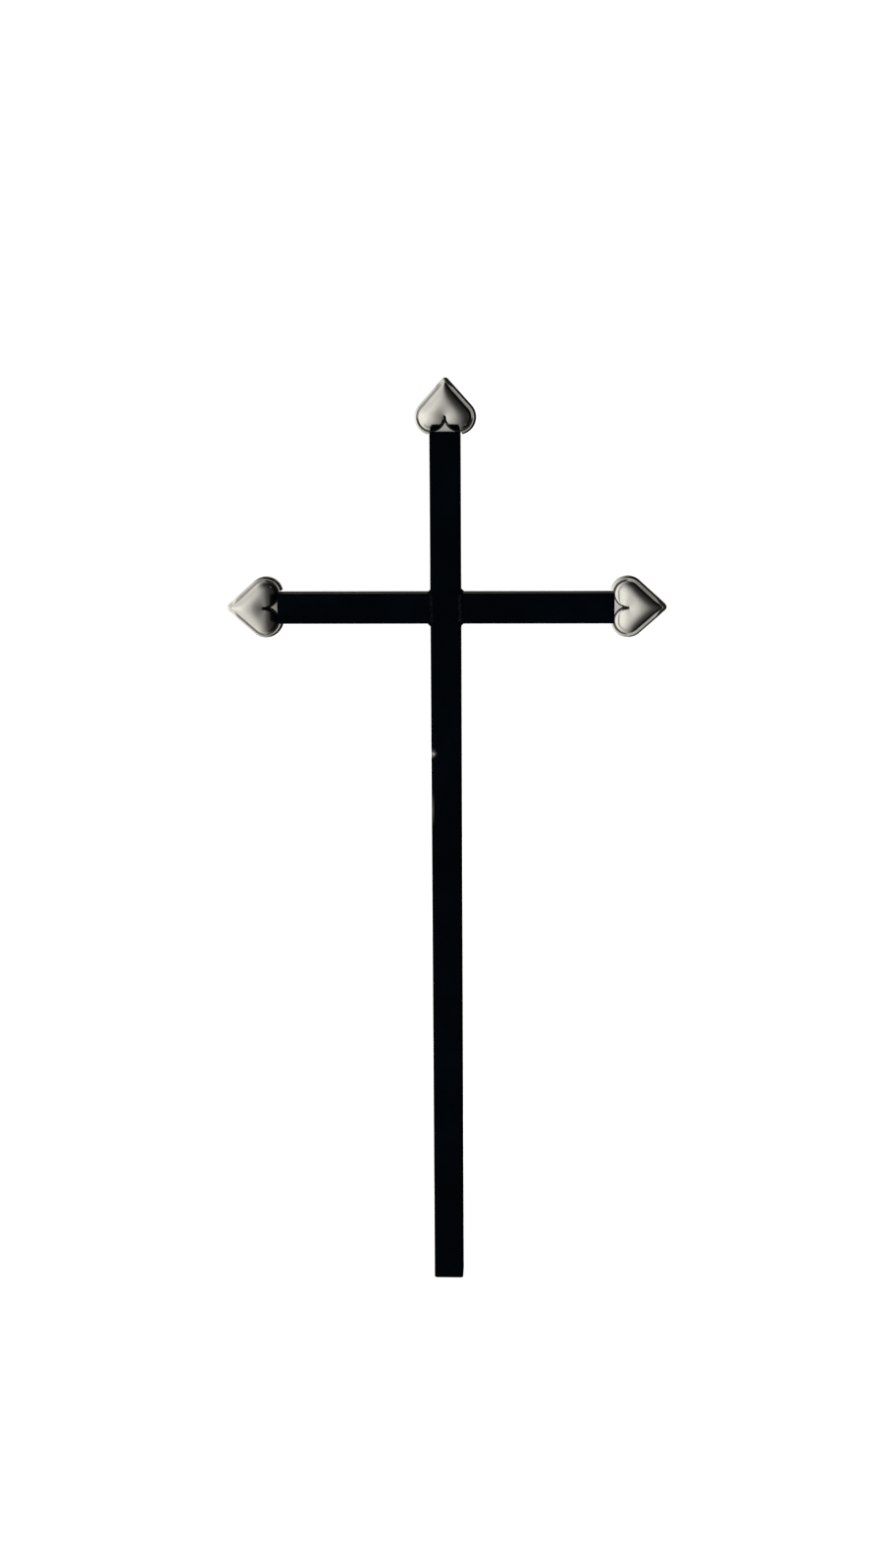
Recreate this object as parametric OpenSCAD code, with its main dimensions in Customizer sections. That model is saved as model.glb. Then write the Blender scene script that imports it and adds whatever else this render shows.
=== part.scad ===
// Grave cross: three lengths of square steel tube welded into a Latin cross, with a polished
// heart finial on the top end and on each arm's end. All sizes are in millimetres.
// X runs along the arms, the front faces -Y, and Z runs up from the cut foot.

/* [Bars] */
// Width of the square tube across its flats
tube_w = 31.75; // [24:0.25:40]
// Wall thickness of the tube
tube_wall = 2; // [1.5:0.1:4]
// Radius of the tube's outer corners
tube_corner_r = 3; // [2:0.1:5]
// Height of the upright, from its cut foot to its closed top end
upright_h = 925; // [700:1:1300]
// Height of the arms' centre line above the foot
arm_z = 743; // [400:1:820]
// Distance from the upright's centre line to each arm's outer end
arm_reach = 176; // [100:1:350]
// Leg of the weld fillet above and below each arm, against the upright
weld_leg = 3; // [1:0.5:5]

/* [Heart finials] */
// Width of a heart across its two lobes
heart_w = 64; // [54:1:76]
// Radius of each lobe
lobe_r = 18; // [15:0.5:22]
// Angle between the heart's axis and the line square to its flank
flank_angle = 48; // [42:1:52]
// Radius of the rounded point
tip_r = 4; // [2:0.5:8]
// Distance that the lobes reach back past the bar's end
lobe_overlap = 3.5; // [0:0.5:5]
// Thickness of the rim plate that the dome stands on
rim_t = 16; // [6:0.5:20]
// How far in from the bar's back face the heart's flat back stands
back_inset = 1; // [0:0.5:5]
// Clearance between the lobes and the sides of the bar that they reach past
side_gap = 0.3; // [0.2:0.1:1]

/* [Heart dome] */
// Height of the dome above the rim plate
dome_h = 12; // [8:0.5:18]
// Width of the rim left flat beside the dome
rim_w = 4; // [2:0.5:6]
// Distance from the bar's end to the bottom of the dome's cleft
cleft_a = 14.5; // [12:0.5:16]
// Radius of the dome's rounded point
dome_tip_r = 1.5; // [1:0.5:5]
// Clearance between the dome's lobes and the bar's end
dome_gap = 0.5; // [0.3:0.1:1.5]
// Slope of the dome's surface at its edge, in degrees
dome_edge = 58; // [40:1:75]
// Facets round the dome
dome_facets = 72; // [36:4:96]
// Rings of facets from the dome's edge to its crown
dome_rings = 7; // [4:1:8]

/* [Hidden] */
$fn = 96;
black_paint = [0.02, 0.025, 0.03];
polished = [0.78, 0.78, 0.76];

// The tube
half_w = tube_w / 2;
bore_w = tube_w - 2 * tube_wall;
bore_corner_r = max(tube_corner_r - tube_wall, tube_wall / 2);
arm_len = arm_reach - half_w;
flat_len = tube_w - 2 * tube_corner_r;

// The rim plate's outline: two lobe circles and a point circle joined by tangent flanks.
// Along its axis, zero is the bar's end; across it, zero is the axis.
lobe_c = heart_w / 2 - lobe_r;
lobe_a = lobe_r - lobe_overlap;
flank_reach = lobe_a * cos(flank_angle) + lobe_c * sin(flank_angle) + lobe_r;
tip_a = (flank_reach - tip_r) / cos(flank_angle);
heart_back = half_w - back_inset;
rim_front = heart_back - rim_t;

// The dome's outline: two lobe ellipses that meet on the axis at the cleft, flanks that run
// beside the rim's, and a point circle.
dome_c = (heart_w / 2 - rim_w) / 2;
dome_ra = cleft_a - dome_gap;
dome_support = norm([dome_ra * cos(flank_angle), dome_c * sin(flank_angle)]);
dome_reach = cleft_a * cos(flank_angle) + dome_c * sin(flank_angle) + dome_support;
dome_tip_a = (dome_reach - dome_tip_r) / cos(flank_angle);
// Where the flank leaves the lobe ellipse, across and along the axis
dome_flank_c = dome_c + pow(dome_c, 2) * sin(flank_angle) / dome_support;
dome_flank_a = cleft_a + pow(dome_ra, 2) * cos(flank_angle) / dome_support;
// The crown stands this far from the bar's end
crown_share = 0.28;
crown_a = cleft_a + crown_share * (dome_tip_a - cleft_a);
// The dome's root is sunk this far into the rim plate
dome_root = 1;
// Near the crown the dome's level lines round off to this radius
round_r = dome_c * 1.5;
// Bearings from the crown, zero towards the point, at which one part of the outline ends
tip_end = atan2(dome_tip_r * sin(flank_angle), dome_tip_a + dome_tip_r * cos(flank_angle) - crown_a);
flank_end = atan2(dome_flank_c, dome_flank_a - crown_a);

// Distance from the crown to the point circle, the flank or the lobe ellipse, on bearing b
function to_tip(b) =
    (dome_tip_a - crown_a) * cos(b)
    + sqrt(pow(dome_tip_r, 2) - pow((dome_tip_a - crown_a) * sin(b), 2));
function to_flank(b) = (dome_reach - crown_a * cos(flank_angle)) / cos(b - flank_angle);
function quad_far(p, q, s) = (-q + sqrt(max(0, q * q - 4 * p * s))) / (2 * p);
function to_lobe(b) =
    quad_far(
        pow(cos(b) / dome_ra, 2) + pow(sin(b) / dome_c, 2),
        2 * ((crown_a - cleft_a) * cos(b) / pow(dome_ra, 2) - sin(b) / dome_c),
        pow((crown_a - cleft_a) / dome_ra, 2)
    );
function to_edge(b) = b <= tip_end ? to_tip(b) : b <= flank_end ? to_flank(b) : to_lobe(b);

// A point of the dome on bearing b: t runs from 0 at the crown to 1 at the edge
function ring_r(b, t) = (round_r + (to_edge(b) - round_r) * t) * sin(dome_edge * t) / sin(dome_edge);
function rise(t) = dome_h * (cos(dome_edge * t) - cos(dome_edge)) / (1 - cos(dome_edge));
function side(i) = i > dome_facets / 2 ? -1 : 1;
function bearing(i) = 360 * (i > dome_facets / 2 ? dome_facets - i : i) / dome_facets;
function dome_point(i, t, y) = [
    side(i) * ring_r(bearing(i), t) * sin(bearing(i)),
    y,
    crown_a + ring_r(bearing(i), t) * cos(bearing(i))
];

// The tube's outline or its bore's: a square with rounded corners
module tube_shape(w, r) {
    flat = w - 2 * r;
    union() {
        square([w, flat], center = true);
        square([flat, w], center = true);
        for (sx = [-1, 1], sy = [-1, 1])
            translate([sx * flat / 2, sy * flat / 2])
                circle(r = r);
    }
}

// A length of tube standing on its open end, closed at its top
module closed_tube(len) {
    difference() {
        linear_extrude(height = len)
            tube_shape(tube_w, tube_corner_r);
        translate([0, 0, -tube_wall])
            linear_extrude(height = len)
                tube_shape(bore_w, bore_corner_r);
    }
}

// The weld fillet on one side of an arm, running front to back against the upright
module weld_fillet() {
    translate([-flat_len / 2, 0, 0])
        rotate([90, 0, 90])
            linear_extrude(height = flat_len)
                polygon([[0, 0], [weld_leg, 0], [0, weld_leg]]);
}

// An arm drawn standing on its inner end, with its welds at that end
module arm() {
    color(black_paint)
        union() {
            closed_tube(arm_len);
            for (turn = [90, 270])
                rotate([0, 0, turn])
                    translate([0, half_w, 0])
                        weld_fillet();
        }
}

module rim_outline() {
    union() {
        for (s = [-1, 1])
            translate([s * lobe_c, lobe_a])
                circle(r = lobe_r);
        translate([0, tip_a])
            circle(r = tip_r);
        polygon([
            for (s = [1, -1]) each let (
                run = [
                    [s * lobe_c, 0],
                    [s * lobe_c, lobe_a],
                    [s * (lobe_c + lobe_r * sin(flank_angle)), lobe_a + lobe_r * cos(flank_angle)],
                    [s * tip_r * sin(flank_angle), tip_a + tip_r * cos(flank_angle)]
                ]
            ) [for (i = [0 : 3]) run[s > 0 ? i : 3 - i]]
        ]);
    }
}

// The rim plate, cut back where the bar's end sits between its lobes
module rim_plate() {
    difference() {
        translate([0, heart_back, 0])
            rotate([90, 0, 0])
                linear_extrude(height = rim_t)
                    rim_outline();
        translate([-half_w - side_gap, rim_front - rim_t, -lobe_r])
            cube([tube_w + 2 * side_gap, 3 * rim_t, lobe_r]);
    }
}

module dome() {
    n = dome_facets;
    crown = [[0, rim_front - dome_h, crown_a]];
    rings = [
        for (k = [1 : dome_rings], i = [0 : n - 1])
            dome_point(i, k / dome_rings, rim_front - rise(k / dome_rings))
    ];
    root = [for (i = [0 : n - 1]) dome_point(i, 1, rim_front + dome_root)];
    base = [[0, rim_front + dome_root, crown_a]];
    last = 1 + n * (dome_rings + 1);
    polyhedron(
        points = concat(crown, rings, root, base),
        faces = concat(
            [for (i = [0 : n - 1]) [0, 1 + i, 1 + (i + 1) % n]],
            [
                for (k = [0 : dome_rings - 1], i = [0 : n - 1])
                    [1 + k * n + i, 1 + (k + 1) * n + i, 1 + (k + 1) * n + (i + 1) % n]
            ],
            [
                for (k = [0 : dome_rings - 1], i = [0 : n - 1])
                    [1 + k * n + i, 1 + (k + 1) * n + (i + 1) % n, 1 + k * n + (i + 1) % n]
            ],
            [for (i = [0 : n - 1]) [last, last - n + (i + 1) % n, last - n + i]]
        )
    );
}

// A heart finial standing on a bar's end, point upward
module heart_finial() {
    color(polished)
        union() {
            rim_plate();
            dome();
        }
}

module upright() {
    color(black_paint)
        closed_tube(upright_h);
}

module right_arm() {
    translate([half_w, 0, arm_z])
        rotate([0, 90, 0])
            arm();
}

module left_arm() {
    translate([-half_w, 0, arm_z])
        rotate([0, -90, 0])
            arm();
}

module top_finial() {
    translate([0, 0, upright_h])
        heart_finial();
}

module right_finial() {
    translate([arm_reach, 0, arm_z])
        rotate([0, 90, 0])
            heart_finial();
}

module left_finial() {
    translate([-arm_reach, 0, arm_z])
        rotate([0, -90, 0])
            heart_finial();
}

upright();
left_arm();
right_arm();
top_finial();
left_finial();
right_finial();
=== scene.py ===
"""Looks of the welded grave cross: painted square tubes, their welds, and polished heart finials."""

import math
import random

import bmesh
import bpy
import numpy as np
from mathutils import Matrix, Vector, noise


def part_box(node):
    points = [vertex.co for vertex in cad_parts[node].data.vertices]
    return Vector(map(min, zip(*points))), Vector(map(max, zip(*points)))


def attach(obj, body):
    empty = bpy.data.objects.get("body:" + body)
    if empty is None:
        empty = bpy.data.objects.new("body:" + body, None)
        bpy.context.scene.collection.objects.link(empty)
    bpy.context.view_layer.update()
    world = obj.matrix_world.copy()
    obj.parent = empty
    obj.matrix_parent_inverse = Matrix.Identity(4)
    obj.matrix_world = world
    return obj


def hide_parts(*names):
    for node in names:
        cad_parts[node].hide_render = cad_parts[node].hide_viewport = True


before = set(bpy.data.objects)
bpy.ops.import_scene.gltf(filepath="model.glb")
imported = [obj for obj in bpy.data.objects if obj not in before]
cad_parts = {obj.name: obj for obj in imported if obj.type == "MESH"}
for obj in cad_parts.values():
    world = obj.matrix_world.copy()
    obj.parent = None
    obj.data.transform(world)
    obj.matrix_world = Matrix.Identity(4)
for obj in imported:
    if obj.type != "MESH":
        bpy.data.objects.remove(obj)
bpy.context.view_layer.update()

MM = 0.001

# The bars, in metres, as the CAD has them
TUBE_W = 0.03175
WALL = 0.002
CORNER_R = 0.003
HALF = TUBE_W / 2
TOP_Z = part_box("upright")[1][2]
ARM_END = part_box("right_arm")[1][0]
ARM_Z = (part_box("left_finial")[0][2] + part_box("left_finial")[1][2]) / 2

# The heart's outlines, in millimetres, along and across its axis from the bar's end
HEART_W = 64.0
LOBE_R = 18.0
LOBE_OVERLAP = 3.5
FLANK_ANGLE = 48.0
FLANK = math.radians(FLANK_ANGLE)
TIP_R = 4.0
LOBE_C = HEART_W / 2 - LOBE_R
LOBE_A = LOBE_R - LOBE_OVERLAP
RIM_W = 4.0
RIM_T = 16.0
BACK_INSET = 1.0
RIM_BACK = HALF / MM - BACK_INSET
RIM_FRONT = RIM_BACK - RIM_T
SIDE_GAP = 0.3
DOME_H = 12.0
DOME_GAP = 0.5
CLEFT_A = 14.5
DOME_R = CLEFT_A - DOME_GAP
DOME_C = (HEART_W / 2 - RIM_W) / 2
DOME_TIP_R = 1.5
CROWN_A = 28.0
# How far in from the cleft's walls the dome reaches its full height
CLEFT_ROLL = 2.2
# How much lower the dome is beside the cleft than at its crown
CLEFT_FALL = 0.12
# The rim's section: a groove beside the dome, a slope up to the ridge, and a slope down to the edge
GROOVE_DEPTH = 0.4
GROOVE_W = 0.3
SLOPE_IN = 0.30
RIDGE_H = 0.6
SLOPE_OUT = 1.25
EDGE_DROP = 2.5
# How far the ridge's crest is rounded
CREST_R = 0.05
# How much further the edge falls, and how much gentler the slope is, within TIP_FADE of the point
TIP_DROP = 1.8
TIP_EASE = 0.2
TIP_FADE = (7.0, 15.0)
# The rim stands this far in from the CAD outline
EASE = 0.02
# The dome's profile: how broad its crown is, and how steep its edge
CROWN_POWER = 1.9
EDGE_POWER = 0.66
# The back edge's rounding, as pairs: in from the outline, and in front of the flat back
BACK_RINGS = ((0.0, 1.2), (0.12, 0.6), (0.45, 0.15), (1.1, 0.0), (5.0, 0.0))
# The painted shade in the groove, mixed with a little real dirt, is thick within the first distance of
# the groove and gone at the second
SHADE_DIRT_NEAR = (0.5, 1.1)
# How much of this painted shade there is in front of the cleft and more behind it, and where it changes
SHADE_DIRT_FRONT = 0.1
SHADE_DIRT_BACK = 1.2
SHADE_DIRT_CHANGE = (-3.0, 5.0)

# Steps along a half outline's point circle, flank, lobe circle and bridge across the cleft
TIP_STEPS = 24
FLANK_STEPS = 200
LOBE_STEPS = 420
BRIDGE_STEPS = 100
# Where the lobe circles end, in degrees round from the point
DOME_LOBE_END = 270.0
RIM_LOBE_END = 200.0
# A face's mesh: bearings on each side, extra ones in degrees, and rings on the dome and the rim
BEARINGS = 170
FINE_BEARINGS = (0.5, 1.6, 2.2, 2.8, 178.2, 178.8, 179.3, 179.7, 179.9)
DOME_RINGS = 30
RIM_RINGS = 22
# No other bearing is this near the notch's corner, which has one on each side of it, in radians
NOTCH_CLEAR = 0.006
NOTCH_STEP = 0.0004

# A tube's mesh: steps round a corner, steps along a flat, and metres between its rings
ARC_STEPS = 8
FLAT_STEPS = 6
RING_STEP = 0.004
# How much the tube's ends are eased, in metres, and the share of it that the middle ring takes
END_EASE = 0.0005
END_ROUND = 0.3
# The nick in the upright's front left edge: its height, half length, reach and depth, in metres
NICK_Z = 0.589
NICK_HALF = 0.0038
NICK_REACH = 0.0055
NICK_DEPTH = 0.0019
# The share of its depth that the nick goes across and back, and its wear at the rim and inside
NICK_PUSH = (0.8, 0.6)
NICK_WEAR = (0.35, 0.60)

# Weld ripples: metres from one to the next, and how far and over what length they wander
RIPPLE_PITCH = 0.0017
WANDER = 1.3
WANDER_LENGTH = 0.004
# The bead along an arm, in metres: its leg, how deep it is sunk, and how long its thin ends are
WELD_LEG = 0.0030
WELD_SINK = 0.0012
WELD_TAPER = 0.0025
# Shares of the bead's size: its ripples, its thinnest end, what chance takes, and its hollow face
WELD_RIPPLE = 0.28
WELD_END = 0.35
WELD_CHANCE = 0.07
WELD_HOLLOW = 0.22
WELD_ROUND = 1.1
# Shares of the corner radius: how far the bead stops short, and how closely it follows the corner
WELD_STOP = 0.45
WELD_FOLLOW = 0.9
WELD_WEAR = (0.10, 0.22)
WELD_STEPS = 64
WELD_SECTION = 10
# The ground seam, in metres: how far it stops short, laps onto the arm, dips, ripples and lies
# below the face, and how deep it goes
SEAM_STOP = 0.0016
SEAM_LAP = 0.0007
SEAM_DIP = 0.00022
SEAM_RIPPLE = 0.00028
SEAM_BELOW = 0.00006
SEAM_DEPTH = 0.0026
# The share of the corner radius that the seam covers
SEAM_COVER = 0.80
SEAM_WEAR = (0.05, 0.28)
SEAM_STEPS = 72
SEAM_SECTION = 7

# Wear on the tube's flats and corners, and how much more the corners have in patches
FLAT_WEAR = 0.02
CORNER_WEAR = 0.10
PATCH_WEAR = 0.16
PATCH_SCALE = (60, 60, 22)
# How far one tube's patches are moved from the next one's
PATCH_SHIFT = (3.1, 7.7)

# The paint in its darker and lighter clouds, its dust, its haze, and the steel where it is rubbed
PAINT_DARK = (0.0002, 0.0009, 0.0018, 1.0)
PAINT_LIGHT = (0.0006, 0.0018, 0.0034, 1.0)
PAINT_DUST = (0.10, 0.10, 0.095, 1.0)
PAINT_HAZE = (0.12, 0.12, 0.12, 1.0)
BARE_STEEL = (0.40, 0.39, 0.37, 1.0)
# The polished metal where it is clean and smeared, and the dark colour of its painted groove shade and
# dirt
METAL_CLEAN = (0.80, 0.795, 0.775, 1.0)
METAL_SMEARED = (0.70, 0.70, 0.685, 1.0)
METAL_SHADE_AND_DIRT = (0.055, 0.050, 0.038, 1.0)
# A Mix node's two colour inputs and its colour output
MIX_A, MIX_B, MIX_RESULT = 6, 7, 2


# ---------------------------------------------------------------- materials


def new_material(name):
    mat = bpy.data.materials.new(name)
    mat.use_nodes = True
    tree = mat.node_tree
    return mat, tree, tree.nodes["Principled BSDF"]


def add(tree, kind, **values):
    node = tree.nodes.new(kind)
    for key, value in values.items():
        if key in node.inputs:
            node.inputs[key].default_value = value
        else:
            setattr(node, key, value)
    return node


def noise_node(tree, coords, scale, detail, rough=0.55):
    node = add(tree, "ShaderNodeTexNoise", Scale=scale, Detail=detail, Roughness=rough)
    tree.links.new(coords, node.inputs["Vector"])
    return node.outputs["Fac"]


def ramp(tree, value, span, levels, smooth=False):
    """The value's span, a pair, mapped onto a pair of levels and held at its ends."""
    node = add(tree, "ShaderNodeMapRange", clamp=True)
    node.interpolation_type = "SMOOTHSTEP" if smooth else "LINEAR"
    for key, v in zip(("From Min", "From Max", "To Min", "To Max"), span + levels):
        node.inputs[key].default_value = v
    tree.links.new(value, node.inputs["Value"])
    return node.outputs["Result"]


def math_node(tree, op, a, b):
    node = add(tree, "ShaderNodeMath", operation=op)
    for socket, v in zip(node.inputs, (a, b)):
        if isinstance(v, (int, float)):
            socket.default_value = v
        else:
            tree.links.new(v, socket)
    return node.outputs[0]


def mix_colour(tree, fac, a, b):
    node = add(tree, "ShaderNodeMix", data_type="RGBA")
    tree.links.new(fac, node.inputs["Factor"])
    for socket, v in ((node.inputs[MIX_A], a), (node.inputs[MIX_B], b)):
        if isinstance(v, tuple):
            socket.default_value = v
        else:
            tree.links.new(v, socket)
    return node.outputs[MIX_RESULT]


def bump(tree, shader, height, strength, distance, previous=None):
    node = add(tree, "ShaderNodeBump", Strength=strength, Distance=distance)
    tree.links.new(height, node.inputs["Height"])
    if previous is not None:
        tree.links.new(previous, node.inputs["Normal"])
    tree.links.new(node.outputs["Normal"], shader.inputs["Normal"])
    return node.outputs["Normal"]


def black_paint():
    """Black paint almost without highlights: orange peel, cloudy gloss, dust and rubbed chips."""
    mat, tree, shader = new_material("black_paint_on_steel")
    coords = add(tree, "ShaderNodeTexCoord").outputs["Object"]
    wear = add(tree, "ShaderNodeAttribute", attribute_name="wear").outputs["Fac"]
    cloud = noise_node(tree, coords, scale=14.0, detail=5.0)
    dust = noise_node(tree, coords, scale=420.0, detail=3.0, rough=0.7)
    chips = noise_node(tree, coords, scale=900.0, detail=2.0)
    colour = mix_colour(tree, ramp(tree, cloud, (0.35, 0.7), (0.0, 1.0)), PAINT_DARK, PAINT_LIGHT)
    specks = ramp(tree, dust, (0.70, 0.78), (0.0, 1.0))
    colour = mix_colour(tree, math_node(tree, "MULTIPLY", specks, 0.15), colour, PAINT_DUST)
    # Rubbed corners look a little hazy before the paint wears through
    haze = ramp(tree, wear, (0.2, 0.5), (0.0, 0.5))
    colour = mix_colour(tree, haze, colour, PAINT_HAZE)
    rubbed = ramp(tree, math_node(tree, "ADD", wear, math_node(tree, "SUBTRACT", chips, 0.5)),
                  (0.62, 0.74), (0.0, 1.0))
    colour = mix_colour(tree, rubbed, colour, BARE_STEEL)
    tree.links.new(colour, shader.inputs["Base Color"])
    gloss = ramp(tree, cloud, (0.3, 0.75), (0.30, 0.44))
    gloss = math_node(tree, "ADD", gloss, math_node(tree, "MULTIPLY", rubbed, 0.12))
    tree.links.new(gloss, shader.inputs["Roughness"])
    shader.inputs["Specular IOR Level"].default_value = 0.008
    peel = noise_node(tree, coords, scale=650.0, detail=2.0)
    first = bump(tree, shader, peel, strength=0.10, distance=0.0002)
    sag = noise_node(tree, coords, scale=45.0, detail=2.0)
    bump(tree, shader, sag, strength=0.08, distance=0.0012, previous=first)
    return mat


def polished_metal():
    """Polished metal with faint smears, hairline scratches, and painted shade with a little dirt in its
    groove.
    """
    mat, tree, shader = new_material("polished_heart_metal")
    coords = add(tree, "ShaderNodeTexCoord").outputs["Object"]
    groove_shade_and_dirt = add(tree, "ShaderNodeAttribute", attribute_name="groove_shade_and_dirt").outputs["Fac"]
    smear = noise_node(tree, coords, scale=60.0, detail=4.0, rough=0.6)
    fine = noise_node(tree, coords, scale=700.0, detail=3.0, rough=0.6)
    smeared = ramp(tree, smear, (0.3, 0.75), (0.0, 1.0))
    colour = mix_colour(tree, smeared, METAL_CLEAN, METAL_SMEARED)
    # Painted shade and a painted dark reflection, mixed with some real dirt, darken the metal in the
    # groove
    shade_and_dirt = ramp(tree, math_node(tree, "ADD", groove_shade_and_dirt, math_node(tree, "SUBTRACT", fine, 0.5)),
                (0.45, 0.95), (0.0, 0.85))
    colour = mix_colour(tree, shade_and_dirt, colour, METAL_SHADE_AND_DIRT)
    tree.links.new(colour, shader.inputs["Base Color"])
    shader.inputs["Metallic"].default_value = 1.0
    rough = ramp(tree, smear, (0.3, 0.75), (0.20, 0.27))
    rough = math_node(tree, "ADD", rough, math_node(tree, "MULTIPLY", shade_and_dirt, 0.35))
    tree.links.new(rough, shader.inputs["Roughness"])
    stretched = add(tree, "ShaderNodeMapping", Scale=(1.0, 1.0, 9.0))
    tree.links.new(coords, stretched.inputs["Vector"])
    hair = noise_node(tree, stretched.outputs["Vector"], scale=420.0, detail=2.0)
    first = bump(tree, shader, hair, strength=0.05, distance=0.0001)
    bump(tree, shader, smear, strength=0.04, distance=0.0006, previous=first)
    return mat


def pale_floor():
    mat, tree, shader = new_material("pale_backdrop")
    coords = add(tree, "ShaderNodeTexCoord").outputs["Object"]
    grain = noise_node(tree, coords, scale=3.0, detail=3.0)
    colour = mix_colour(tree, grain, (0.90, 0.90, 0.90, 1.0), (0.93, 0.93, 0.93, 1.0))
    tree.links.new(colour, shader.inputs["Base Color"])
    shader.inputs["Roughness"].default_value = 0.9
    shader.inputs["Specular IOR Level"].default_value = 0.1
    shader.inputs["Emission Color"].default_value = (1.0, 1.0, 1.0, 1.0)
    shader.inputs["Emission Strength"].default_value = 0.70
    return mat


# ---------------------------------------------------------------- mesh helpers


def make_object(name, verts, faces, mat, layers=None, smooth_angle=40.0):
    mesh = bpy.data.meshes.new(name)
    mesh.from_pydata(verts, [], faces)
    mesh.validate()
    for attribute, values in (layers or {}).items():
        layer = mesh.attributes.new(attribute, "FLOAT", "POINT")
        layer.data.foreach_set("value", values)
    mesh.materials.append(mat)
    mesh.shade_smooth()
    ob = bpy.data.objects.new(name, mesh)
    bpy.context.scene.collection.objects.link(ob)
    bpy.context.view_layer.objects.active = ob
    ob.select_set(True)
    bpy.ops.object.shade_smooth_by_angle(angle=math.radians(smooth_angle))
    ob.select_set(False)
    for modifier in list(ob.modifiers):
        bpy.ops.object.modifier_apply(modifier=modifier.name)
    return ob


def bridge(a, b, n):
    """Quads between ring a and ring b, given as first vertex numbers, each of n points."""
    return [(a + i, a + (i + 1) % n, b + (i + 1) % n, b + i) for i in range(n)]


def bar_faces(steps, n):
    """The skin and the two ends of a bar drawn as steps + 1 sections of n points each."""
    faces = []
    for i in range(steps):
        faces += bridge(i * n, (i + 1) * n, n)
    faces.append(tuple(reversed(range(n))))
    faces.append(tuple(steps * n + i for i in range(n)))
    return faces


def square_loop(width, radius):
    """A square with rounded corners, counter-clockwise, with points along its flats too."""
    h = width / 2 - radius
    corners = ((1, 1), (-1, 1), (-1, -1), (1, -1))
    points = []
    for k, (sx, sy) in enumerate(corners):
        for i in range(ARC_STEPS + 1):
            a = math.radians(90 * k + 90 * i / ARC_STEPS)
            points.append((sx * h + radius * math.cos(a), sy * h + radius * math.sin(a)))
        next_x, next_y = corners[(k + 1) % 4]
        a = math.radians(90 * (k + 1))
        start = points[-1]
        end = (next_x * h + radius * math.cos(a), next_y * h + radius * math.sin(a))
        for i in range(1, FLAT_STEPS):
            t = i / FLAT_STEPS
            points.append((start[0] + (end[0] - start[0]) * t, start[1] + (end[1] - start[1]) * t))
    return points


def tube(length, place, wear_at, nicked=False):
    """A square tube on its open end: outer skin, end wall, bore and cut rim, as one closed mesh."""
    outer = square_loop(TUBE_W, CORNER_R)
    inner = square_loop(TUBE_W - 2 * WALL, CORNER_R - WALL)
    n = len(outer)
    ease, middle = END_EASE, END_EASE * END_ROUND
    rings = [(ease, 0.0), (0.0, ease)]
    steps = int(length / RING_STEP)
    rings += [(0.0, ease + (length - 2 * ease) * i / steps) for i in range(1, steps + 1)]
    rings += [(middle, length - middle), (ease, length)]
    verts, values, faces = [], [], []

    def put(x, y, z, wear):
        verts.append(place @ Vector((x, y, z)))
        values.append(wear)

    for shrink, z in rings:
        k = 1 - shrink / HALF
        for x, y in outer:
            px, py = x * k, y * k
            wear = wear_at(x, y, z)
            if nicked:
                along = (z - NICK_Z) / NICK_HALF
                across = math.hypot(px + HALF, py + HALF) / NICK_REACH
                if abs(along) < 1 and across < 1:
                    dent = NICK_DEPTH * (1 - along * along) ** 2 * (1 - across * across)
                    px += dent * NICK_PUSH[0]
                    py += dent * NICK_PUSH[1]
                    bare = (1 - along * along) * (1 - across)
                    wear = max(wear, NICK_WEAR[0] + NICK_WEAR[1] * bare)
            put(px, py, z, wear)
    for a in range(len(rings) - 1):
        faces += bridge(a * n, (a + 1) * n, n)
    last = (len(rings) - 1) * n
    faces.append(tuple(last + i for i in range(n)))
    bore = len(verts)
    for x, y in inner:
        put(x, y, 0.0, 0.0)
    for x, y in inner:
        put(x, y, length - WALL, 0.0)
    faces += bridge(bore, 0, n)
    faces += bridge(bore + n, bore, n)
    faces.append(tuple(bore + n + i for i in reversed(range(n))))
    return verts, values, faces


def ripple(y, seed):
    """How high the uneven weld ripples stand at a place along a run, from 0 to 1."""
    beat = math.sin(2 * math.pi * y / RIPPLE_PITCH + WANDER * math.sin(y / WANDER_LENGTH + seed))
    return 0.5 + 0.5 * beat


def weld_run(direction, seed):
    """The fillet above or below an arm, along the depth, thinning out at the front and back."""
    rng = random.Random(seed)
    verts, values = [], []
    steps, section = WELD_STEPS, WELD_SECTION
    reach = HALF - CORNER_R * WELD_STOP
    for i in range(steps + 1):
        y = -reach + 2 * reach * i / steps
        end = min(1.0, (reach - abs(y)) / WELD_TAPER)
        size = WELD_LEG * (1 - WELD_RIPPLE + WELD_RIPPLE * ripple(y, seed))
        size *= WELD_END + (1 - WELD_END) * math.sqrt(max(0.0, end))
        size *= 1 - WELD_CHANCE + WELD_CHANCE * rng.random()
        # The upright's side falls away round its corner, so the bead follows it in
        over = max(0.0, abs(y) - (HALF - CORNER_R))
        drop = CORNER_R - math.sqrt(max(0.0, CORNER_R**2 - over**2))
        root = HALF - drop * WELD_FOLLOW
        for j in range(section):
            a = math.pi / 2 * j / (section - 1)
            bulge = 1.0 - WELD_HOLLOW * math.sin(2 * a)
            u = size * math.cos(a) ** WELD_ROUND * bulge if j < section - 1 else 0.0
            v = size * math.sin(a) ** WELD_ROUND * bulge if j > 0 else 0.0
            verts.append((root + u, y, direction * (root + v)))
            values.append(WELD_WEAR[0] + WELD_WEAR[1] * rng.random() * ripple(y, seed))
        sunk, proud = HALF - drop - WELD_SINK, HALF - drop + size
        verts.append((sunk, y, direction * proud))
        verts.append((sunk, y, direction * sunk))
        verts.append((proud, y, direction * sunk))
        values += [0.0, 0.0, 0.0]
    return verts, values, bar_faces(steps, section + 3)


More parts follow.
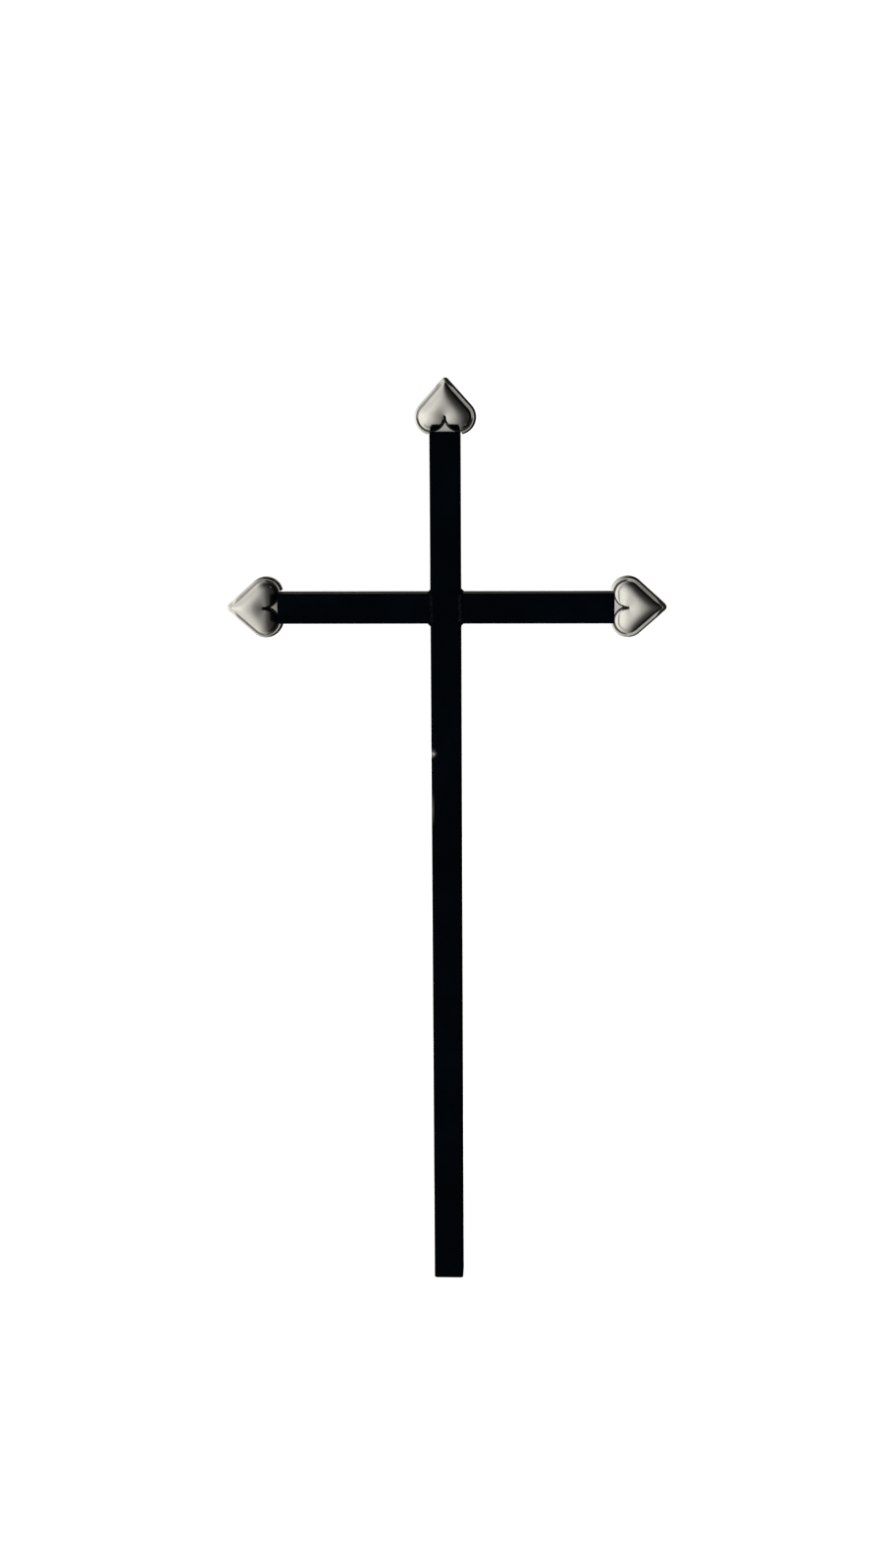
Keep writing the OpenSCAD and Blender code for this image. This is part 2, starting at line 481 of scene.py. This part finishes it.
def weld_seam(face, seed):
    """The ground-down seam on the front or back, filling the groove at the upright's rounded corner."""
    rng = random.Random(seed + 7)
    verts, values = [], []
    half_run = HALF - SEAM_STOP
    start = HALF - CORNER_R * SEAM_COVER
    for i in range(SEAM_STEPS + 1):
        z = -half_run + 2 * half_run * i / SEAM_STEPS
        for j in range(SEAM_SECTION):
            t = j / (SEAM_SECTION - 1)
            x = start + (CORNER_R * SEAM_COVER + SEAM_LAP) * t
            dip = SEAM_DIP + SEAM_RIPPLE * ripple(z, seed) * math.sin(math.pi * t)
            verts.append((x, face * (HALF - dip * math.sin(math.pi * t) - SEAM_BELOW), z))
            values.append(SEAM_WEAR[0] + SEAM_WEAR[1] * rng.random())
        for x in (HALF + SEAM_LAP, start):
            verts.append((x, face * (HALF - SEAM_DEPTH), z))
            values.append(0.0)
    return verts, values, bar_faces(SEAM_STEPS, SEAM_SECTION + 2)


def merge(parts):
    verts, values, faces = [], [], []
    for v, w, f in parts:
        base = len(verts)
        verts += v
        values += w
        faces += [tuple(base + i for i in face) for face in f]
    return verts, values, faces


# ---------------------------------------------------------------- the heart finial


def arc_points(centre, radius, start, end, count):
    """Points (across, along) on an arc; angles run from the axis' own direction towards +across."""
    points = []
    for i in range(count):
        b = start + (end - start) * i / (count - 1)
        points.append((centre[0] + radius * math.sin(b), centre[1] + radius * math.cos(b)))
    return points


def half_outline(lobe_c, lobe_a, lobe_r, tip_r, lobe_end):
    """The right half of a heart: point circle, flank and lobe circle, from the tip to lobe_end."""
    reach = lobe_a * math.cos(FLANK) + lobe_c * math.sin(FLANK) + lobe_r
    tip_a = (reach - tip_r) / math.cos(FLANK)
    tip = arc_points((0.0, tip_a), tip_r, 0.0, FLANK, TIP_STEPS)
    lobe = arc_points((lobe_c, lobe_a), lobe_r, FLANK, lobe_end, LOBE_STEPS)
    (x0, a0), (x1, a1) = tip[-1], lobe[0]
    flank = [(x0 + (x1 - x0) * i / FLANK_STEPS, a0 + (a1 - a0) * i / FLANK_STEPS)
             for i in range(1, FLANK_STEPS)]
    return tip + flank + lobe


# The dome's own lobes meet on the axis at its cleft; the rim's run on past the bar's end
DOME_HALF = half_outline(DOME_C, CLEFT_A, DOME_R, DOME_TIP_R, math.radians(DOME_LOBE_END))
RIM_HALF = half_outline(LOBE_C, LOBE_A, LOBE_R, TIP_R, math.radians(RIM_LOBE_END))


def mirrored(half):
    return np.array(half + [(-x, a) for x, a in reversed(half)])


DOME_LINE = mirrored(DOME_HALF)
RIM_LINE = mirrored(RIM_HALF)
# The dome's line with its cleft bridged straight across, and the arcs that wall the cleft
LOBE_SHARE = (180.0 - FLANK_ANGLE) / (DOME_LOBE_END - FLANK_ANGLE)
BOTTOM = TIP_STEPS + FLANK_STEPS - 1 + round(LOBE_STEPS * LOBE_SHARE)
BACK_EDGE = [(DOME_C * (1 - i / BRIDGE_STEPS), CLEFT_A - DOME_R) for i in range(1, BRIDGE_STEPS)]
BRIDGED_LINE = mirrored(DOME_HALF[:BOTTOM] + BACK_EDGE)
CLEFT_LINE = np.array([p for p in DOME_LINE if abs(p[0]) < DOME_C and p[1] < CLEFT_A])


def spread(points, line):
    """A smooth measure of distance from a closed line, which sharp ridges don't show in."""
    start, end = line, np.roll(line, -1, axis=0)
    length = np.hypot(*(end - start).T)
    middle = (start + end) / 2
    total = np.zeros(len(points))
    for m, size in zip(middle, length):
        total += size / ((points[:, 0] - m[0]) ** 2 + (points[:, 1] - m[1]) ** 2)
    return 1 / total


def nearest(points, line):
    """The distance from each point to the line's nearest point."""
    best = np.full(len(points), np.inf)
    for m in line:
        best = np.minimum(best, (points[:, 0] - m[0]) ** 2 + (points[:, 1] - m[1]) ** 2)
    return np.sqrt(best)


def smooth_step(value, low, high):
    t = np.clip((value - low) / (high - low), 0.0, 1.0)
    return t * t * (3 - 2 * t)


def crossing(half, b, crown):
    """How far a ray from the crown on bearing b goes before it leaves the half outline."""
    best = 0.0
    for (x0, a0), (x1, a1) in zip(half, half[1:]):
        u0 = x0 * math.cos(b) - (a0 - crown) * math.sin(b)
        u1 = x1 * math.cos(b) - (a1 - crown) * math.sin(b)
        if u0 * u1 <= 0 and u0 != u1:
            t = u0 / (u0 - u1)
            x, a = x0 + (x1 - x0) * t, a0 + (a1 - a0) * t - crown
            best = max(best, x * math.sin(b) + a * math.cos(b))
    return best


def heart_mesh(lean):
    """The finial standing on a bar's end, point up: domed heart, groove, sloped rim, flat back."""
    notch = math.atan2(HALF / MM + SIDE_GAP, -CROWN_A)
    half = [math.pi * i / BEARINGS for i in range(BEARINGS + 1)]
    half = [b for b in half if abs(b - notch) > NOTCH_CLEAR]
    half += [notch - NOTCH_STEP, notch + NOTCH_STEP]
    half += [math.radians(v) for v in FINE_BEARINGS]
    half = sorted(set(half))
    loop = [(b, 1) for b in half] + [(b, -1) for b in reversed(half[1:-1])]
    n = len(loop)
    dome_r, rim_r = {}, {}
    for b in half:
        dome_r[b] = crossing(DOME_HALF, b, CROWN_A)
        rim_r[b] = CROWN_A / -math.cos(b) if b > notch else crossing(RIM_HALF, b, CROWN_A) - EASE
    dome_r[0.0] = DOME_HALF[0][1] - CROWN_A
    rim_r[0.0] = RIM_HALF[0][1] - CROWN_A - EASE
    dome_r[half[-1]] = CROWN_A - CLEFT_A

    flat = []
    for k in range(1, DOME_RINGS + 1):
        t = math.sin(math.pi / 2 * k / DOME_RINGS)
        flat += [(s * t * dome_r[b] * math.sin(b), CROWN_A + t * dome_r[b] * math.cos(b))
                 for b, s in loop]
    for k in range(1, RIM_RINGS + 1):
        t = k / RIM_RINGS
        for b, s in loop:
            r = dome_r[b] + (rim_r[b] - dome_r[b]) * t
            flat.append((s * r * math.sin(b), CROWN_A + r * math.cos(b)))
    flat = np.array(flat)

    inside = flat[: (DOME_RINGS - 1) * n]
    places = np.vstack([inside, [(0.0, CROWN_A)]])
    field = spread(places, BRIDGED_LINE)
    share = np.clip(field / field.max(), 0.0, 1.0)
    rise = DOME_H * (1 - (1 - share) ** CROWN_POWER) ** EDGE_POWER
    roll = np.clip(1 - nearest(places, CLEFT_LINE) / CLEFT_ROLL, 0.0, 1.0)
    rise *= np.sqrt(1 - roll**2)
    rise *= 1 - CLEFT_FALL * (1 - np.clip(nearest(places, CLEFT_LINE) / DOME_R, 0.0, 1.0)) ** 2
    rise *= DOME_H / rise.max()
    outside = flat[DOME_RINGS * n:]
    from_dome = nearest(outside, DOME_LINE)
    from_edge = nearest(outside, RIM_LINE)
    inner = -GROOVE_DEPTH + SLOPE_IN * np.maximum(0.0, from_dome - GROOVE_W)
    # Near the point the rim falls away from the dome all the way out
    to_tip = np.hypot(outside[:, 0], outside[:, 1] - RIM_HALF[0][1])
    point = 1 - smooth_step(to_tip, *TIP_FADE)
    outer = -EDGE_DROP - TIP_DROP * point + (SLOPE_OUT - TIP_EASE * point) * from_edge
    ridge = sum(np.exp(-h / CREST_R) for h in (inner, outer, RIDGE_H))
    ridge = -CREST_R * np.log(ridge)
    # The web between the lobes is flat
    web = (np.abs(outside[:, 0]) < DOME_C) & (outside[:, 1] < CLEFT_A)
    ridge[web] = GROOVE_DEPTH * (smooth_step(from_dome[web], GROOVE_W, 3 * GROOVE_W) - 1)
    heights = np.concatenate([rise[:-1], np.full(n, -GROOVE_DEPTH), ridge])
    heights += lean * (flat[:, 1] - CROWN_A)
    heights -= max(0.0, heights.max() - DOME_H)

    # Painted shade and a little real dirt darken the groove, most of it behind the lobes and in the cleft
    back_side = smooth_step(CLEFT_A - flat[:, 1], *SHADE_DIRT_CHANGE)
    near = np.concatenate([nearest(inside, DOME_LINE), np.zeros(n), from_dome])
    close = smooth_step(-near, -SHADE_DIRT_NEAR[1], -SHADE_DIRT_NEAR[0])
    groove_shade_and_dirt = [float(g) for g in close * (SHADE_DIRT_FRONT + SHADE_DIRT_BACK * back_side)]

    verts = [(x * MM, (RIM_FRONT - h) * MM, a * MM) for (x, a), h in zip(flat, heights)]
    rows = [k * n for k in range(DOME_RINGS + RIM_RINGS)]

    def ring(inset, y):
        rows.append(len(verts))
        for b, s in loop:
            r = rim_r[b] - inset
            verts.append((s * r * math.sin(b) * MM, y * MM, (CROWN_A + r * math.cos(b)) * MM))

    ring(0.0, (RIM_FRONT + RIM_BACK) / 2)
    for inset, ahead in BACK_RINGS:
        ring(inset, RIM_BACK - ahead)
    faces = []
    for a, b in zip(rows, rows[1:]):
        faces += bridge(a, b, n)
    crown, back = len(verts), len(verts) + 1
    verts += [(0.0, (RIM_FRONT - rise[-1]) * MM, CROWN_A * MM), (0.0, RIM_BACK * MM, CROWN_A * MM)]
    faces += [(crown, rows[0] + (i + 1) % n, rows[0] + i) for i in range(n)]
    faces += [(back, rows[-1] + i, rows[-1] + (i + 1) % n) for i in range(n)]
    groove_shade_and_dirt += [0.0] * (len(verts) - len(groove_shade_and_dirt))
    return verts, groove_shade_and_dirt, faces


# ---------------------------------------------------------------- build the cross

paint = black_paint()
polish = polished_metal()


def edge_wear(seed, extra=()):
    """Light rubbing along the tube's corners, and patches given as (height, half length, amount)."""
    offset = Vector((seed * PATCH_SHIFT[0], seed * PATCH_SHIFT[1], 0.0))

    def at(x, y, z):
        if abs(x) <= HALF - CORNER_R or abs(y) <= HALF - CORNER_R:
            return FLAT_WEAR
        patch = noise.noise(Vector(c * k for c, k in zip((x, y, z), PATCH_SCALE)) + offset)
        amount = CORNER_WEAR + PATCH_WEAR * max(0.0, patch)
        if x < 0 and y < 0:
            for where, half, much in extra:
                amount += much * max(0.0, 1 - abs(z - where) / half)
        return amount

    return at


def finish_piece(ob, node):
    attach(ob, "root")
    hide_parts(node)


def sideways(side, reach):
    """Turns what stands upright so that it starts at reach along the arms and runs outward."""
    turn = Matrix.Rotation(math.radians(90 * side), 4, "Y")
    return Matrix.Translation((side * reach, 0.0, ARM_Z)) @ turn


# Rubbed patches on the upright's front left corner: height, half length and amount
scratches = ((0.530, 0.024, 0.40), (NICK_Z, 0.010, 0.15))
made = tube(TOP_Z, Matrix.Identity(4), edge_wear(1, scratches), nicked=True)
upright = make_object("upright_tube", made[0], made[2], paint, {"wear": made[1]})
finish_piece(upright, "upright")

arm_length = ARM_END - HALF
for name, side in (("right", 1), ("left", -1)):
    bar = tube(arm_length, sideways(side, HALF), edge_wear(2 + side))
    flip = Matrix.Rotation(math.pi if side < 0 else 0.0, 4, "Z")
    lift = Matrix.Translation((0.0, 0.0, ARM_Z))
    # Above and below the arm, then on its front and back, each with its own seed
    welds = [weld_run(1, 11 + side), weld_run(-1, 17 + side)]
    welds += [weld_seam(-1, 23 + side), weld_seam(1, 29 + side)]
    moved = []
    for v, w, f in welds:
        moved.append(([lift @ flip @ Vector(p) for p in v], w, f))
    verts, values, faces = merge([bar] + moved)
    arm = make_object(f"{name}_arm_tube", verts, faces, paint, {"wear": values})
    finish_piece(arm, f"{name}_arm")
    arm.visible_glossy = name == "left"

# Where each heart stands, and how much its face leans forward towards its point
spots = (
    ("top", Matrix.Translation((0.0, 0.0, TOP_Z)), 0.0),
    ("right", sideways(1, ARM_END), 0.13),
    ("left", sideways(-1, ARM_END), 0.12),
)
for name, place, lean in spots:
    heart = heart_mesh(lean)
    verts = [place @ Vector(p) for p in heart[0]]
    # Each heart carries its painted groove shade, with some dirt, as a mesh attribute
    finial = make_object(f"{name}_heart", verts, heart[2], polish, {"groove_shade_and_dirt": heart[1]}, 60.0)
    finish_piece(finial, f"{name}_finial")

# The ends and faces above are wound both ways, so each piece's normals are turned outward here
for ob in [o for o in bpy.context.scene.objects if o.type == "MESH" and not o.hide_render]:
    if ob.name.endswith(("_tube", "_heart")):
        bm = bmesh.new()
        bm.from_mesh(ob.data)
        bmesh.ops.recalc_face_normals(bm, faces=bm.faces)
        bm.to_mesh(ob.data)
        bm.free()


# ---------------------------------------------------------------- floor, light, camera

FLOOR_HALF = 9
floor_corners = [(x * FLOOR_HALF, y * FLOOR_HALF, 0) for x, y in ((-1, -1), (1, -1), (1, 1), (-1, 1))]
floor = make_object("floor", floor_corners, [(0, 1, 2, 3)], pale_floor())
floor.visible_glossy = False

world = bpy.data.worlds.new("studio")
bpy.context.scene.world = world
world.use_nodes = True
tree = world.node_tree
tree.nodes.clear()
out = tree.nodes.new("ShaderNodeOutputWorld")
coords = tree.nodes.new("ShaderNodeTexCoord").outputs["Generated"]
split = tree.nodes.new("ShaderNodeSeparateXYZ")
tree.links.new(coords, split.inputs[0])
way_x, way_y, way_z = split.outputs
# A wide soft window on the left, falling off to the right, and darker straight up and down
window = ramp(tree, way_x, (-0.75, 0.5), (0.85, 0.0), smooth=True)
across = math_node(tree, "ADD", window, ramp(tree, way_x, (-0.9, 0.8), (0.30, 0.03)))
up_down = math_node(tree, "MAXIMUM", way_z, math_node(tree, "MULTIPLY", way_z, -0.6))
steep = math_node(tree, "POWER", up_down, 1.8)
keep = ramp(tree, way_x, (-1.0, 0.0), (0.6, 0.95))
dimmed = math_node(tree, "SUBTRACT", 1.0, math_node(tree, "MULTIPLY", steep, keep))
level = math_node(tree, "MULTIPLY", across, dimmed)
# A dark card stands on the right, behind the cross
card = math_node(tree, "MULTIPLY", ramp(tree, way_y, (0.0, 0.18), (0.0, 0.9)),
                 ramp(tree, way_x, (0.0, 0.35), (0.0, 1.0)))
level = math_node(tree, "MULTIPLY", level, math_node(tree, "SUBTRACT", 1.0, card))
soft = add(tree, "ShaderNodeBackground", Color=(1.0, 0.975, 0.90, 1.0))
tree.links.new(level, soft.inputs["Strength"])
# The camera sees plain white where the rest of the scene sees that light
plain = add(tree, "ShaderNodeBackground", Color=(1.0, 1.0, 1.0, 1.0), Strength=1.15)
camera_ray = tree.nodes.new("ShaderNodeLightPath").outputs["Is Camera Ray"]
choose = tree.nodes.new("ShaderNodeMixShader")
tree.links.new(camera_ray, choose.inputs[0])
tree.links.new(soft.outputs[0], choose.inputs[1])
tree.links.new(plain.outputs[0], choose.inputs[2])
tree.links.new(choose.outputs[0], out.inputs["Surface"])


def area_light(name, location, target, size, power):
    data = bpy.data.lights.new(name, "AREA")
    data.shape = "SQUARE"
    data.size = size
    data.energy = power
    ob = bpy.data.objects.new(name, data)
    ob.location = location
    ob.rotation_euler = (Vector(target) - Vector(location)).to_track_quat("-Z", "Y").to_euler()
    bpy.context.scene.collection.objects.link(ob)
    return ob


key = area_light("key", location=(-2.6, -2.0, 2.6), target=(0.0, 0.0, 0.6), size=3.0, power=12.0)
key.visible_glossy = False
overhead = area_light("overhead", location=(0.0, 1.0, 4.5), target=(0.0, 1.0, 0.0), size=6.0, power=200.0)
overhead.visible_glossy = False

# The camera, worked out from the bars' edges: its place in metres, its yaw, pitch down and roll in
# degrees, and its lens and sensor in millimetres
CAMERA_PLACE = (0.0845, -2.1655, 0.9653)
CAMERA_AIM = (-2.40, 10.74, -0.33)
CAMERA_LENS = 47.474
SENSOR_W = 36.0
FAR_CLIP = 60.0
yaw, pitch, roll = (math.radians(angle) for angle in CAMERA_AIM)
forward = Vector((math.sin(yaw) * math.cos(pitch), math.cos(yaw) * math.cos(pitch), -math.sin(pitch)))
right = Vector((math.cos(yaw), -math.sin(yaw), 0.0))
above = right.cross(forward)
right, above = (right * math.cos(roll) + above * math.sin(roll),
                above * math.cos(roll) - right * math.sin(roll))
camera_data = bpy.data.cameras.new("camera")
camera_data.sensor_width = SENSOR_W
camera_data.lens = CAMERA_LENS
camera_data.clip_end = FAR_CLIP
camera = bpy.data.objects.new("camera", camera_data)
pose = Matrix((right, above, -forward)).transposed().to_4x4()
pose.translation = Vector(CAMERA_PLACE)
camera.matrix_world = pose
bpy.context.scene.collection.objects.link(camera)
bpy.context.scene.camera = camera
bpy.context.scene.view_settings.view_transform = "Standard"
